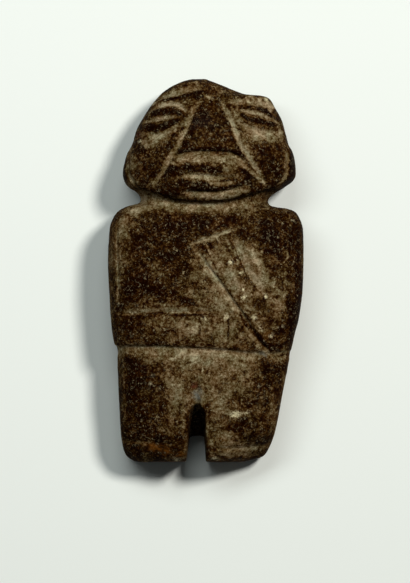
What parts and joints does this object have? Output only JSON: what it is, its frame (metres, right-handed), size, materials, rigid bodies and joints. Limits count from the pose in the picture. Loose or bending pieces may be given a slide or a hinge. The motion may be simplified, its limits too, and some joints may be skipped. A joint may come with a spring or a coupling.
{
  "type": "stone figurine",
  "caption": "Small schematic human figure carved from dark stone, with a three-sided nose, arms folded across the body and legs parted by a sawn cut, lying on its back.",
  "frame": {"origin": "on the plane of the back, under the middle of the figure's outline", "axes": "+Y from the soles to the crown, +X towards the figure's left arm, +Z from the back up to the face; the figure lies on its back"},
  "size_m": [0.0614, 0.12, 0.028],
  "materials": {
    "stone": "worn, part-polished dark brown stone, pale tan and matt in the grooves"
  },
  "bodies": {
    "root": {"stone_figure": "stone"}
  },
  "joints": []
}
